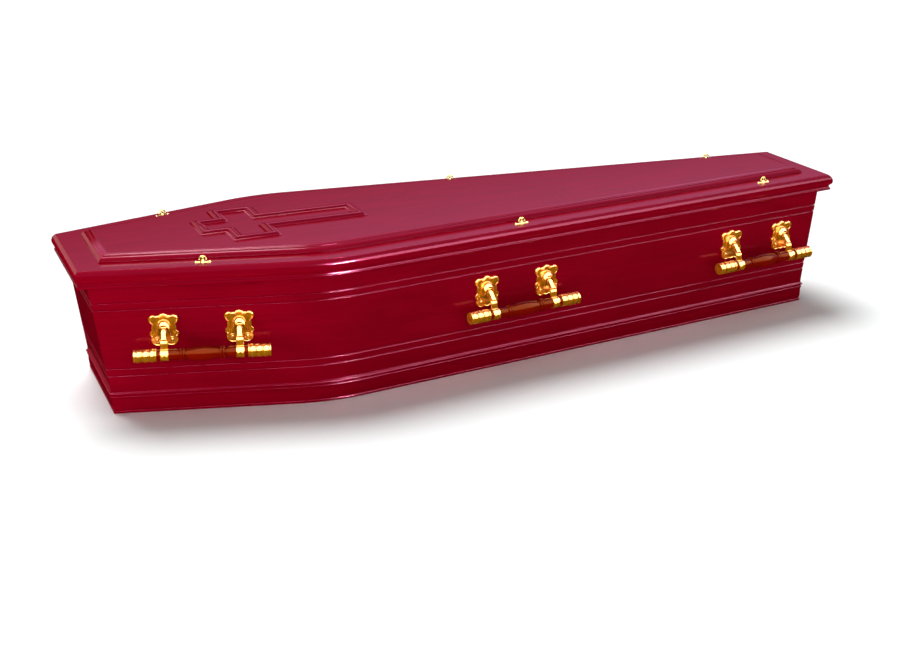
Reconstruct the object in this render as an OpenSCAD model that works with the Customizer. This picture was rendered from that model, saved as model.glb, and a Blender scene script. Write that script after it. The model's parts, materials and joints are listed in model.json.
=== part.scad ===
// Lacquered wooden coffin with a raised lid, an applied cross, six swing-bar handles and six
// lid thumbscrews. Millimetres. +X runs from the head end to the foot end, +Z is up, and the
// origin is the middle of the underside. "Right" is the occupant's right, the -Y side.

/* [Lid outline] */
// Length of the lid over its widest edge
lid_len = 2000; // [1900:10:2200]
// Width of the lid at the head end
head_w = 332.6; // [320:0.2:360]
// Width of the lid between the two shoulder corners, before they are rounded
shoulder_w = 637; // [620:1:660]
// Width of the lid at the foot end
foot_w = 306.8; // [300:0.2:340]
// Distance from the head end to the shoulder corner
shoulder_x = 535.5; // [520:0.5:560]
// Radius of the lid's edge round the shoulder
bend_r = 407; // [380:1:440]

/* [Lid] */
// Height of the rim of the box, where the lid rests
rim_z = 330; // [320:1:340]
// Thickness of the lid board
lid_t = 17.7; // [16:0.1:20]
// Height of the raised panel above the lid board
panel_t = 16.2; // [14:0.1:18]
// Distance from the lid's edge to the foot of the raised panel
panel_inset = 62; // [58:1:70]

/* [Box] */
// Thickness of the side, head and foot boards
wall_t = 16; // [12:1:18]
// Thickness of the base board
base_t = 18; // [16:1:22]
// Distance from the lid's edge in to the outer face of the sides
side_inset = 27.5; // [27:0.5:30]
// Distance from the lid's edge in to the head and foot ends, at the rim
end_inset = 25; // [24.5:0.5:28]
// Lean of the head end, in mm of run for each mm down
head_lean = 0.117; // [0.09:0.001:0.13]
// Lean of the foot end, in mm of run for each mm down
foot_lean = 0.152; // [0.12:0.001:0.17]
// Height of the uppermost V groove round the box
upper_groove_z = 264.1; // [255:0.1:275]
// Height of the third V groove
lower_groove_z = 107; // [102:0.1:120]
// Distance between the two grooves of a pair
groove_gap = 17; // [14:0.5:20]
// Width of a V groove at the surface
groove_w = 3.6; // [3:0.1:5]
// Depth of a V groove
groove_d = 2.2; // [1.5:0.1:3]
// Height of the plinth moulding
plinth_h = 53; // [52:0.5:56]

/* [Cross] */
// Overall length of the cross
cross_len = 410; // [380:2:440]
// Overall width across the arms
cross_w = 264; // [240:2:280]
// Width of the stem and of the arms over the moulding
cross_arm = 116; // [110:1:130]
// Distance from the cross's head to the near side of the arms
cross_top = 59; // [50:1:70]
// Distance from the lid's head end to the cross
cross_start = 309; // [280:1:340]
// Width of the cross moulding
cross_mould_w = 30; // [26:1:34]
// Height of the cross moulding
cross_mould_h = 7; // [5:0.5:8]

/* [Handles] */
// Height of the bar's axis
bar_z = 150; // [145:1:155]
// Distance of the bar's axis from the side
bar_out = 38; // [36:1:42]
// Overall length of a bar with its two end caps
bar_len = 305; // [295:1:315]
// Distance between the two arms of a handle
arm_pitch = 168; // [160:1:176]
// Radius of the bar where the arms grip it
neck_r = 12.2; // [11:0.1:13]
// Radius of the bar's belly
belly_r = 17; // [15:0.5:18]
// Height of the pivot pins
pivot_z = 204; // [202:0.5:206]
// Distance of the pivot pins from the side
pivot_out = 9; // [8:0.5:10]
// How far a handle lifts, in degrees
lift = 60; // [45:1:60]

/* [View] */
// Lift all the handles, from 0 at rest to 1 at the top
lifted = 0; // [0:0.1:1]

/* [Hidden] */
$fn = 96;
clear = 0.3;                      // gap between parts that move past each other
glue = 0.02;                      // film of glue between the plinth and the boards

// ---- plan of the lid: the right side, its bend, and points on lines set in from the edge ----
head_angle = atan2((shoulder_w - head_w) / 2, shoulder_x);
foot_angle = atan2((shoulder_w - foot_w) / 2, lid_len - shoulder_x);
bend_angle = head_angle + foot_angle;
bend_half = (foot_angle - head_angle) / 2;
bend_reach = bend_r / cos(bend_angle / 2);
bend_cx = -lid_len / 2 + shoulder_x - bend_reach * sin(bend_half);
bend_cy = -shoulder_w / 2 + bend_reach * cos(bend_half);

// A point on the line set in by u from the lid's edge, at x, on the head or foot stretch
function head_line(x, u) = let(r = bend_r - u, s = (x - bend_cx + r * sin(head_angle)) / cos(head_angle))
    [x, bend_cy - s * sin(head_angle) - r * cos(head_angle)];
function foot_line(x, u) = let(r = bend_r - u, s = (x - bend_cx - r * sin(foot_angle)) / cos(foot_angle))
    [x, bend_cy + s * sin(foot_angle) - r * cos(foot_angle)];
// The two ends of the bend, on the line set in by u
function bend_point(a, u) = [bend_cx + (bend_r - u) * cos(a), bend_cy + (bend_r - u) * sin(a)];
bend_a0 = -90 - head_angle;
bend_a1 = -90 + foot_angle;

// ---- profiles: [distance in from the lid's edge, height], listed upwards ----
// Points on an arc about c, from angle a0 to a1
function arc(c, r, a0, a1, n) = [for (i = [0:n]) let(a = a0 + (a1 - a0) * i / n) c + r * [cos(a), sin(a)]];

top_z = rim_z + lid_t;            // upper face of the lid board
crown_z = top_z + panel_t;        // upper face of the raised panel
edge_drop = 23.5;                 // how far the edge moulding hangs below the lid board
edge_w = 22.5;                    // width of the edge moulding
nose_r = 19.3;                    // round of the lid board's edge
nose_a = 61.8;                    // how far that round turns
cove_r = 12;                      // round at the top of the edge moulding
bead_r = 3;                       // bead at its foot

lid_profile = concat(
    arc([nose_r, rim_z], nose_r, 180, 180 - nose_a, 8),
    [[10.2, top_z]]);
edge_front = concat(
    [[5.2, rim_z - edge_drop], [3.7, rim_z - edge_drop + 2]],
    arc([3.7 + bead_r, rim_z - 20], bead_r, 180, 100, 4),
    [[7, rim_z - 15]],
    arc([cove_r, rim_z], cove_r, 180 + 66, 180, 5));
panel_profile = concat(
    [[panel_inset, top_z], [panel_inset, top_z + 2.8]],
    arc([panel_inset + 16, top_z - 4.7], 16.5, 152, 102, 6),
    [[panel_inset + 13, crown_z - 3.4]],
    arc([panel_inset + 23, crown_z - 13], 12.7, 128, 92, 3),
    [[panel_inset + 22.6, crown_z - 1.4], [panel_inset + 24, crown_z]]);

// The plinth, as [stand-off from the box, height], listed upwards
plinth_steps = concat(
    [[3.9, 0]],
    arc([2.6, 4.2], 2.3, -40, 90, 4),
    [[2.2, 7.6], [3.6, 9], [3.4, 22], [2.2, 34]],
    arc([1.5, 38.6], 2.4, -40, 60, 3),
    [[2.2, 42.2]],
    arc([2.2, 46.2], 2.8, -80, 90, 5),
    [[0.6, 51], [0.6, plinth_h]]);
plinth_front = [for (p = plinth_steps) [side_inset - p.x, p.y]];
plinth_back = side_inset - glue;

// A wall of the box, with its V grooves
groove_z = [lower_groove_z - groove_gap, lower_groove_z, upper_groove_z - groove_gap, upper_groove_z];
grooves = [for (z = groove_z, k = [-1, 0, 1]) [side_inset + (k == 0 ? groove_d : 0), z + k * groove_w / 2]];
wall_front = concat([[side_inset, 0]], grooves, [[side_inset, rim_z]]);
wall_back = side_inset + wall_t;

// ---- mitres: how far in from the lid's end a point of a section is cut ----
function end_face(z, lean) = end_inset + lean * (rim_z - z);
lid_mitre = function(p, lean) p.x;
box_mitre = function(p, lean) end_face(p.y, lean) + p.x - side_inset;

// ---- builders ----
bend_steps = 10;
half_len = lid_len / 2;

// The right side's line for the section point p, from head to foot
function side_line(p, mitre) = [for (q = concat(
    [head_line(-half_len + mitre(p, head_lean), p.x)],
    [for (k = [0:bend_steps]) bend_point(bend_a0 + bend_angle * k / bend_steps, p.x)],
    [foot_line(half_len - mitre(p, foot_lean), p.x)])) [q.x, q.y, p.y]];

// Joins lines of m points into a solid with flat ends: n lines up its front, and n up its back
module carried(front, back) {
    n = len(front);
    m = len(front[0]);
    b = n * m;
    t = b - m;
    polyhedron(concat([for (line = front) each line], [for (line = back) each line]), concat(
        [for (i = [0:n - 2], j = [0:m - 2])
            [i * m + j, i * m + j + 1, (i + 1) * m + j + 1, (i + 1) * m + j]],
        [for (i = [0:n - 2], j = [0:m - 2])
            [b + i * m + j, b + (i + 1) * m + j, b + (i + 1) * m + j + 1, b + i * m + j + 1]],
        [for (j = [0:m - 2]) [b + j, b + j + 1, j + 1, j]],
        [for (j = [0:m - 2]) [t + j, t + j + 1, b + t + j + 1, b + t + j]],
        [for (i = [0:n - 2]) [i * m, (i + 1) * m, b + (i + 1) * m, b + i * m]],
        [for (i = [1:n - 1]) [i * m - 1, b + i * m - 1, b + i * m + m - 1, i * m + m - 1]]),
        convexity = 6);
}

// The same profile with every point set in to the straight back
function back_of(profile, back) = [for (p = profile) [back, p.y]];

// A board or moulding along the right side and round its bend, from its front profile to its back
module side_run(profile, back, mitre) carried(
    [for (p = profile) side_line(p, mitre)],
    [for (p = back_of(profile, back)) side_line(p, mitre)]);

// The line across the head or the foot for the profile point p, from one side to the other
function end_line(p, mitre, head) = let(
    side = head ? -1 : 1,
    x = half_len - mitre(p, head ? head_lean : foot_lean),
    y = head ? head_line(-x, p.x).y : foot_line(x, p.x).y)
    [[side * x, -side * y, p.y], [side * x, side * y, p.y]];

// A board or moulding across the head or the foot, between the two mitres
module end_run(profile, back, mitre, head) carried(
    [for (p = profile) end_line(p, mitre, head)],
    [for (p = back_of(profile, back)) end_line(p, mitre, head)]);

// A slab whose edge follows a profile all the way round
module slab(profile, mitre) {
    rings = [for (p = profile) let(line = side_line(p, mitre))
        concat(line, [for (i = [len(line) - 1:-1:0]) [line[i].x, -line[i].y, line[i].z]])];
    n = len(rings);
    m = len(rings[0]);
    polyhedron([for (ring = rings) each ring], concat(
        [[for (j = [0:m - 1]) j]],
        [[for (j = [m - 1:-1:0]) (n - 1) * m + j]],
        [for (i = [0:n - 2], j = [0:m - 1]) let(k = (j + 1) % m)
            [i * m + k, i * m + j, (i + 1) * m + j, (i + 1) * m + k]]),
        convexity = 4);
}

module lacquer() { color("#8c0a26") children(); }
module gilt() { color("#d9a53c") children(); }

// ---- box ----
module side_board() {
    difference() {
        side_run(wall_front, wall_back, box_mitre);
        screw_holes();
    }
}

module base_board() slab([[wall_back, 0], [wall_back, base_t]], box_mitre);

// ---- lid ----
screw_inset = side_inset + wall_t / 2;
shank_r = 2.5;                    // the screw's shank
shank_hole_r = 2.6;               // the hole it goes down
shank_len = lid_t + 30;           // how far it reaches below the lid's upper face

// The three places on each side, with x at the middle of each handle and of each thumbscrew
places = ["head", "mid", "foot"];
screw_x = [-723, 50, 787];
handle_x = [-736.6, 33.2, 768.7];

// Moves its children to x on the right side, set in by u, turned to lie along that side
module on_side(i, x, u) {
    p = (i == 0) ? head_line(x, u) : foot_line(x, u);
    translate([p.x, p.y, 0]) rotate([0, 0, (i == 0) ? -head_angle : foot_angle]) children();
}

module screw_holes() {
    for (i = [0:2]) on_side(i, screw_x[i], screw_inset)
        translate([0, 0, top_z - shank_len - 1]) cylinder(r = shank_hole_r, h = shank_len + 20);
}

module lid_board() {
    difference() {
        slab(lid_profile, lid_mitre);
        for (m = [0, 1]) mirror([0, m, 0]) screw_holes();
    }
}

// Section of the cross moulding: [distance in from its outer edge, height]
cross_section = let(w = cross_mould_w, h = cross_mould_h, half = concat(
    [[0, 0], [0, 1]],
    arc([0, 8.6], 7.6, -90, -18, 6),
    [[8.2, h - 1.4], [9, h - 2.2]],
    arc([w / 2, h - 7], 7, 137, 90, 6)))
    concat(half, [for (i = [len(half) - 2:-1:0]) [w - half[i].x, half[i].y]]);

// The cross's outline set in by u, anticlockwise from its head's right corner
function cross_outline(u) = let(a = cross_arm / 2 - u, b = cross_w / 2 - u, x0 = u, x1 = cross_top + u,
    x2 = cross_top + cross_arm - u, x3 = cross_len - u)
    [[x0, -a], [x1, -a], [x1, -b], [x2, -b], [x2, -a], [x3, -a],
     [x3, a], [x2, a], [x2, b], [x1, b], [x1, a], [x0, a]];

module lid_cross() {
    outer = cross_outline(0);
    inner = cross_outline(cross_mould_w);
    n = len(outer);
    translate([cross_start - half_len, 0, crown_z]) for (i = [0:n - 1]) {
        j = (i + 1) % n;
        run = outer[j] - outer[i];
        intersection() {
            linear_extrude(cross_mould_h + 1) polygon([outer[i], outer[j], inner[j], inner[i]]);
            translate([outer[i].x, outer[i].y, 0]) rotate([0, 0, atan2(run.y, run.x)])
                translate([-cross_mould_w, 0, 0]) rotate([90, 0, 90])
                linear_extrude(norm(run) + 2 * cross_mould_w) polygon(cross_section);
        }
    }
}

// ---- thumbscrews: each stands on its plate, with its axis at the origin ----
screw_plate_t = 3;                // thickness of the plate
screw_plate_half = 15;            // from its middle to the middle of a round end
wing_r = 9.5;                     // outer radius of the arched wing
wing_hole_r = 6;                  // inner radius
wing_t = 3.2;                     // thickness of the wing
wing_lift = 2.5;                  // height of the arch's springing above the boss
knob_r = 2.1;                     // knobs at the feet of the arch
stem_r = 2.2;                     // stem up the middle of the arch
stem_h = 9.2;

module screw_plate() {
    difference() {
        union() {
            translate([-screw_plate_half, -5, 0]) cube([2 * screw_plate_half, 10, screw_plate_t]);
            for (s = [-1, 1]) translate([s * screw_plate_half, 0, 0])
                cylinder(r = 6, h = screw_plate_t + 0.6);
            cylinder(r = 7, h = screw_plate_t + 1);
        }
        translate([0, 0, -1]) cylinder(r = shank_hole_r, h = 10);
    }
}

module thumbscrew() {
    head_z = screw_plate_t + 1;
    translate([0, 0, -shank_len]) cylinder(r = shank_r, h = shank_len + head_z + 0.5);
    translate([0, 0, head_z]) {
        cylinder(r = 4, h = 1.6);
        cylinder(r = stem_r, h = stem_h);
        translate([0, 0, wing_lift]) rotate([90, 0, 0]) {
            difference() {
                translate([0, 0, -wing_t / 2]) cylinder(r = wing_r, h = wing_t);
                translate([0, 0, -wing_t]) cylinder(r = wing_hole_r, h = 2 * wing_t);
                translate([-wing_r - 1, -2 * wing_r, -wing_t])
                    cube([2 * wing_r + 2, 2 * wing_r, 2 * wing_t]);
            }
            for (s = [-1, 1]) translate([s * (wing_r + wing_hole_r) / 2, 0, -1.8])
                cylinder(r = knob_r, h = 3.6);
        }
    }
}

// ---- handles: X along the side, outwards is -Y, and the side's face is y = 0 ----
plate_t = 3.5;                    // thickness of the shield plate
plate_bottom = 158;               // height of its lower edge
hood_r = 19;                      // radius of the domed hood over the pivot
slot_w = 13;                      // width of the slot that the arm comes out of
slot_top = 211.5;                 // its upper end
slot_down = 17;                   // how far it runs below the pivot
eye_r = 4.6;                      // eye of the arm, round the pin
pin_r = 2.5;                      // pivot pin
pin_len = 21;
limb_w = 12;                      // width and thickness of the limb that leaves the hood
limb_t = 8;
knee_y = -33.5;                   // knee of the arm, where the limb meets the strap
knee_z = 180;
knee_r = 5;
knee_w = 15.5;
strap_w = 17.5;                   // width of the flat strap and of its ring
strap_t = 5;
ring_r = 14.6;                    // outer radius of the ring round the bar
cap_len = 51;                     // length of an end cap

// The outline of the shield plate, in x and z
module shield() {
    translate([0, 222.5]) circle(13);
    for (s = [-1, 1]) {
        translate([s * 22.5, 221.5]) circle(10.5);
        translate([s * 25, 187]) circle(8);
        translate([s * 15.5, plate_bottom + 15]) circle(15);
    }
    translate([0, plate_bottom + 11]) circle(10);
    difference() {
        translate([-30, plate_bottom + 12]) square([60, 53]);
        for (s = [-1, 1]) translate([s * 44.5, 204.5]) circle(16.5);
    }
}

module handle_plate() {
    difference() {
        union() {
            rotate([90, 0, 0]) linear_extrude(plate_t) shield();
            difference() {
                union() {
                    translate([0, 0, pivot_z]) sphere(hood_r);
                    translate([0, 0, pivot_z - 16]) cylinder(r = hood_r, h = 16);
                }
                translate([-hood_r - 1, 0, 150]) cube([2 * hood_r + 2, 40, 100]);
            }
        }
        translate([-slot_w / 2 - clear, -60, pivot_z - slot_down])
            cube([slot_w + 2 * clear, 60 - pivot_out + eye_r + 3 * clear, slot_top - pivot_z + slot_down]);
        translate([-pin_len / 2 - clear, -pivot_out, pivot_z])
            rotate([0, 90, 0]) cylinder(r = pin_r + clear, h = pin_len + 2 * clear);
    }
}

module handle_arm() {
    limb = [-knee_y - pivot_out, knee_z - pivot_z];
    strap = [-bar_out - knee_y, bar_z - knee_z];
    eye_w = slot_w - 2 * clear;
    difference() {
        union() {
            translate([-eye_w / 2, -pivot_out, pivot_z]) rotate([0, 90, 0]) cylinder(r = eye_r, h = eye_w);
            translate([-pin_len / 2, -pivot_out, pivot_z]) rotate([0, 90, 0])
                cylinder(r = pin_r, h = pin_len);
            translate([0, -pivot_out, pivot_z]) rotate([atan2(limb.y, -limb.x), 0, 0])
                translate([-limb_w / 2, 0, -limb_t / 2]) cube([limb_w, norm(limb), limb_t]);
            translate([-knee_w / 2, knee_y, knee_z]) rotate([0, 90, 0]) cylinder(r = knee_r, h = knee_w);
            translate([-strap_w / 2, knee_y, knee_z]) rotate([atan2(strap.y, strap.x), 0, 0])
                translate([0, 0, -strap_t / 2]) cube([strap_w, norm(strap), strap_t]);
            translate([-strap_w / 2, -bar_out, bar_z]) rotate([0, 90, 0]) cylinder(r = ring_r, h = strap_w);
        }
        translate([-strap_w, -bar_out, bar_z]) rotate([0, 90, 0]) cylinder(r = neck_r, h = 2 * strap_w);
    }
}

// Half of the turned bar: [distance from its middle, radius]
wood_half = bar_len / 2 - cap_len;
bar_profile = concat(
    [[0, 0], [0, belly_r]],
    [for (i = [1:10]) let(t = i / 10) [38 * t, belly_r - 5.5 * (1 - cos(90 * t))]],
    arc([41, 12.2], 2.8, 150, 10, 6),
    arc([47, 12.2], 2.8, 170, 20, 6),
    [[53, neck_r - 0.4], [62, neck_r], [wood_half + 6, neck_r], [wood_half + 6, 0]]);
// An end cap with three swelling ribs and a flared end
cap_rib = 13.5;                   // length of a rib
cap_r = 13.6;                     // radius between the ribs
cap_swell = 1.9;                  // how far a rib swells
cap_profile = concat(
    [[0, 0], [0, cap_r], [1.5, cap_r + 1.6], [3, cap_r]],
    [for (k = [0:2], i = [0:6]) [4 + cap_rib * (k + i / 6), cap_r + cap_swell * sin(180 * i / 6)]],
    [[46, cap_r], [49.5, cap_r + cap_swell], [cap_len, cap_r + 0.9], [cap_len, 0]]);

module handle_bar() {
    translate([0, -bar_out, bar_z]) for (s = [0, 1]) mirror([s, 0, 0]) {
        rotate([0, 90, 0]) rotate_extrude() polygon([for (p = bar_profile) [p.y, p.x]]);
        translate([wood_half, 0, 0]) rotate([0, 90, 0]) rotate_extrude()
            polygon([for (p = cap_profile) [p.y, p.x]]);
    }
}

// Puts its children on one side, at one place, as a handle part; a moving part follows the lift
module handle_site(right, i, moving) {
    mirror([0, right ? 0 : 1, 0]) on_side(i, handle_x[i], side_inset)
        translate([0, -pivot_out, pivot_z]) rotate([moving ? -lift * lifted : 0, 0, 0])
        translate([0, pivot_out, -pivot_z]) children();
}
module screw_site(right, i) {
    mirror([0, right ? 0 : 1, 0]) on_side(i, screw_x[i], screw_inset) translate([0, 0, top_z]) children();
}

// ---- nodes ----
sides = ["right", "left"];
pair = ["a", "b"];

lacquer() base_board();
lacquer() end_run(wall_front, wall_back, box_mitre, true);  // head_board
lacquer() end_run(wall_front, wall_back, box_mitre, false);  // foot_board
lacquer() side_board();  // side_board_right
lacquer() mirror([0, 1, 0]) side_board();  // side_board_left
lacquer() side_run(plinth_front, plinth_back, box_mitre);  // plinth_right
lacquer() mirror([0, 1, 0]) side_run(plinth_front, plinth_back, box_mitre);  // plinth_left
lacquer() end_run(plinth_front, plinth_back, box_mitre, true);  // plinth_head
lacquer() end_run(plinth_front, plinth_back, box_mitre, false);  // plinth_foot
lacquer() lid_board();
lacquer() side_run(edge_front, edge_w, lid_mitre);  // lid_edge_right
lacquer() mirror([0, 1, 0]) side_run(edge_front, edge_w, lid_mitre);  // lid_edge_left
lacquer() end_run(edge_front, edge_w, lid_mitre, true);  // lid_edge_head
lacquer() end_run(edge_front, edge_w, lid_mitre, false);  // lid_edge_foot
lacquer() slab(panel_profile, lid_mitre);  // lid_raised_panel
lacquer() lid_cross();
for (s = sides, i = [0:2]) {
    at = str(s, "_", places[i]);
    right = s == "right";
    gilt() screw_site(right, i) screw_plate();
    gilt() screw_site(right, i) thumbscrew();
    for (k = [0, 1]) {
        dx = (k - 0.5) * arm_pitch;
        gilt() handle_site(right, i, false) translate([dx, 0, 0]) handle_plate();
        gilt() handle_site(right, i, true) translate([dx, 0, 0]) handle_arm();
    }
    color("#7a1a10") handle_site(right, i, true) handle_bar();
}
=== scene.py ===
import json
import math

import bmesh
import bpy
import numpy as np
from bpy.props import FloatProperty, FloatVectorProperty, PointerProperty
from mathutils import Matrix, Vector

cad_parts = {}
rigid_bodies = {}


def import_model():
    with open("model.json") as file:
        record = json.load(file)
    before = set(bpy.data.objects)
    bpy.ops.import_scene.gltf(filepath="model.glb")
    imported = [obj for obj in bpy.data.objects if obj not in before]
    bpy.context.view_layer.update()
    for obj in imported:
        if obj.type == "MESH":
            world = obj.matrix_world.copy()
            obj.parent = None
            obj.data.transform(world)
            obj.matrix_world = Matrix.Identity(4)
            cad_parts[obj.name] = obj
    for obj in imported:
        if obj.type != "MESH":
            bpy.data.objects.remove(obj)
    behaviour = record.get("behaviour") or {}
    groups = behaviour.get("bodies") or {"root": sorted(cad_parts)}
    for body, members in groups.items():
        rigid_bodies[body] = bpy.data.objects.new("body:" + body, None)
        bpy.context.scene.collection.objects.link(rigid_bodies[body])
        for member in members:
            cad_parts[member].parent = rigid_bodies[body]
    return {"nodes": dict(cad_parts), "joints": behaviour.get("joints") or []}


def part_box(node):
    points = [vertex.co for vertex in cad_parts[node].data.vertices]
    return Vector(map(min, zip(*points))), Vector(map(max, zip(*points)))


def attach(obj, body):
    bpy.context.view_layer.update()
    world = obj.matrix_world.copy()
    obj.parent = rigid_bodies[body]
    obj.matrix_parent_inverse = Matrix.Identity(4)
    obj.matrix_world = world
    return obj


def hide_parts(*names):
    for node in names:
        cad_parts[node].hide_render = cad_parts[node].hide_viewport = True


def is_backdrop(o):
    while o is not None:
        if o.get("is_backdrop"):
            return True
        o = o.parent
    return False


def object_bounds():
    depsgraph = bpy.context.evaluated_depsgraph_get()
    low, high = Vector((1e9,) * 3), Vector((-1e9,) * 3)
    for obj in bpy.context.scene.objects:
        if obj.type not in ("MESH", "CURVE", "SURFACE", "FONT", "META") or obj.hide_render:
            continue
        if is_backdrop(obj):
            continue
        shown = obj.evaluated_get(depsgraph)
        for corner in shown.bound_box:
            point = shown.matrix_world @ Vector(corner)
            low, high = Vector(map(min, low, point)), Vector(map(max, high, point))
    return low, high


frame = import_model()
cad_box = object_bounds()

bl_info = {
    "name": "Lacquered coffin",
    "version": (1, 0, 0),
    "blender": (4, 5, 0),
    "location": "View3D > Sidebar > Coffin",
    "description": "Finishes a lacquered wooden coffin with gilt swing-bar handles on its CAD frame",
    "category": "Add Mesh",
}

MM = 0.001
SIDES = {"right": -1, "left": 1}
ENDS = {"head": -1, "foot": 1}
PLACES = ("head", "mid", "foot")
GRAIN_UV = "grain"

# Points of a piece that lie closer than this, in metres, are merged.
MERGE = 2e-6


def mm(value):
    """A length in millimetres, for profiles."""
    return value / MM


# ---------------------------------------------------------------- what the frame says


def node_points(name):
    """All points of a CAD node, one row each, in metres."""
    mesh = frame["nodes"][name].data
    flat = np.empty(3 * len(mesh.vertices))
    mesh.vertices.foreach_get("co", flat)
    return flat.reshape(-1, 3)


def node_centre(name):
    """Middle of a CAD node's box."""
    low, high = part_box(name)
    return np.array((low + high) / 2)


def extreme(points, axis, sign, height=None):
    """The furthest that points reach along an axis, all of them or only those at one height."""
    if height is not None:
        points = points[np.abs(points[:, 2] - height) < 1e-5]
    return sign * (sign * points[:, axis]).max()


def stretch_angle(joint_name):
    """Angle between the long axis and the stretch of side that a handle's hinge axis runs along."""
    axis = next(j["axis"] for j in frame["joints"] if j["name"] == joint_name)
    return abs(math.atan2(axis[1], abs(axis[0])))


lid = node_points("lid_board")
board = node_points("side_board_right")
head_board = node_points("head_board")
foot_board = node_points("foot_board")

HALF_LEN = extreme(lid, 0, 1)
RIM_Z = extreme(lid, 2, -1)
TOP_Z = extreme(lid, 2, 1)
CROWN_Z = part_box("lid_raised_panel")[1].z
EDGE_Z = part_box("lid_edge_right")[0].z
PLINTH_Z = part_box("plinth_right")[1].z
HEAD_HALF = np.abs(lid[lid[:, 0] < 1e-5 - HALF_LEN, 1]).max()
FOOT_HALF = np.abs(lid[lid[:, 0] > HALF_LEN - 1e-5, 1]).max()
HEAD_ANGLE = stretch_angle("lift_right_head")
FOOT_ANGLE = stretch_angle("lift_right_mid")
SIDE_INSET = extreme(board, 1, -1, 0) - extreme(lid, 1, -1)
WALL = extreme(head_board, 0, 1, 0) - extreme(head_board, 0, -1, 0)
END_INSET = HALF_LEN + extreme(head_board, 0, -1)
HEAD_LEAN = (extreme(head_board, 0, -1, 0) - extreme(head_board, 0, -1)) / RIM_Z
FOOT_LEAN = (extreme(foot_board, 0, 1) - extreme(foot_board, 0, 1, 0)) / RIM_Z


# ---------------------------------------------------------------- settings


class CoffinWoodSettings(bpy.types.PropertyGroup):
    """Sizes of the boards and mouldings, and the look of their lacquer."""

    bend_radius: FloatProperty(
        name="Shoulder radius", description="Radius of the lid's edge round the shoulder",
        default=407 * MM, unit="LENGTH")
    groove_width: FloatProperty(
        name="Groove width", description="Width of a V groove at the surface", default=3.6 * MM,
        unit="LENGTH")
    groove_depth: FloatProperty(
        name="Groove depth", description="Depth of a V groove", default=2.2 * MM, unit="LENGTH")
    arris: FloatProperty(
        name="Arris", description="How far the corners of boards and mouldings are eased",
        default=0.9 * MM, unit="LENGTH")
    lacquer: FloatVectorProperty(
        name="Lacquer", description="Colour of the lacquer", size=3, subtype="COLOR",
        default=(0.25, 0.0, 0.009))
    lacquer_dark: FloatVectorProperty(
        name="Lacquer over grain", description="Colour of the lacquer over the darker grain", size=3,
        subtype="COLOR", default=(0.205, 0.0, 0.0065))
    gloss: FloatVectorProperty(
        name="Gloss", description="Tint of what the lacquer mirrors", size=3, subtype="COLOR",
        default=(1.0, 0.15, 0.4))
    bare: FloatVectorProperty(
        name="Base board", description="Colour of the stained underside", size=3, subtype="COLOR",
        default=(0.12, 0.012, 0.012))


class CoffinFittingSettings(bpy.types.PropertyGroup):
    """Sizes of the handles and thumbscrews, and the look of their gilt and stained wood."""

    plate_thickness: FloatProperty(
        name="Plate thickness", description="Thickness of a shield plate at its field",
        default=2.4 * MM, unit="LENGTH")
    hood_radius: FloatProperty(
        name="Hood radius", description="Radius of the domed hood over a pivot", default=18.6 * MM,
        unit="LENGTH")
    neck_radius: FloatProperty(
        name="Bar neck", description="Radius of the bar where its arms grip it", default=12.2 * MM,
        unit="LENGTH")
    belly_radius: FloatProperty(
        name="Bar belly", description="Radius of the bar's belly", default=17 * MM, unit="LENGTH")
    cap_length: FloatProperty(
        name="Cap length", description="Length of a gilt end cap", default=51 * MM, unit="LENGTH")
    gilt: FloatVectorProperty(
        name="Gilt", description="Colour of the gilt metal", size=3, subtype="COLOR",
        default=(0.92, 0.38, 0.012))
    gilt_dark: FloatVectorProperty(
        name="Gilt in hollows", description="Colour of the gilt where it is thin", size=3, subtype="COLOR",
        default=(0.6, 0.18, 0.0))
    brass: FloatVectorProperty(
        name="Brass", description="Colour of the paler thumbscrews", size=3, subtype="COLOR",
        default=(0.62, 0.52, 0.17))
    stain: FloatVectorProperty(
        name="Stained wood", description="Colour of the turned bars", size=3, subtype="COLOR",
        default=(0.26, 0.004, 0.0))


class CoffinStageSettings(bpy.types.PropertyGroup):
    """Floor, light and camera."""

    key: FloatProperty(name="Key light", description="Strength of the key light", default=3.3)
    glint: FloatProperty(
        name="Glint light", description="Power of the soft box that only glosses mirror", default=40,
        subtype="POWER")
    strip: FloatProperty(
        name="Strip light", description="Power of the long soft box that the lid's nose mirrors",
        default=72, subtype="POWER")
    high_strip: FloatProperty(
        name="High strip light", description="Power of the long soft box that the grooves and plinth mirror",
        default=300, subtype="POWER")
    back: FloatProperty(
        name="Back light", description="Power of the soft box behind the head end that only glosses mirror",
        default=3.6, subtype="POWER")
    overhead: FloatProperty(
        name="Overhead light", description="Power of the wide soft box that only the fittings mirror",
        default=1200, subtype="POWER")
    fill: FloatProperty(
        name="Fill light", description="Power of the two soft boxes that only matt surfaces see", default=34,
        subtype="POWER")
    sky: FloatProperty(name="Surroundings", description="Brightness of the surroundings", default=0.36)
    mirror: FloatProperty(
        name="Mirrored surroundings", description="Brightness of the surroundings where they are mirrored",
        default=1.68)
    mirrored: FloatVectorProperty(
        name="Mirrored tint", description="Colour of the surroundings where they are mirrored", size=3,
        subtype="COLOR", default=(1.0, 0.5, 0.95))


# ---------------------------------------------------------------- profiles, in inset and height


def corner(inset, height, ease=0.0):
    """One corner of a profile in millimetres, with how far it is eased."""
    return [[inset, height, ease]]


def arc(inset, height, radius, start, end, steps):
    """Points of a circle about (inset, height), from one angle to another in degrees, none of them eased."""
    a = np.radians(np.linspace(start, end, steps + 1))
    return np.stack([inset + radius * np.cos(a), height + radius * np.sin(a), 0 * a], 1)


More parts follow.
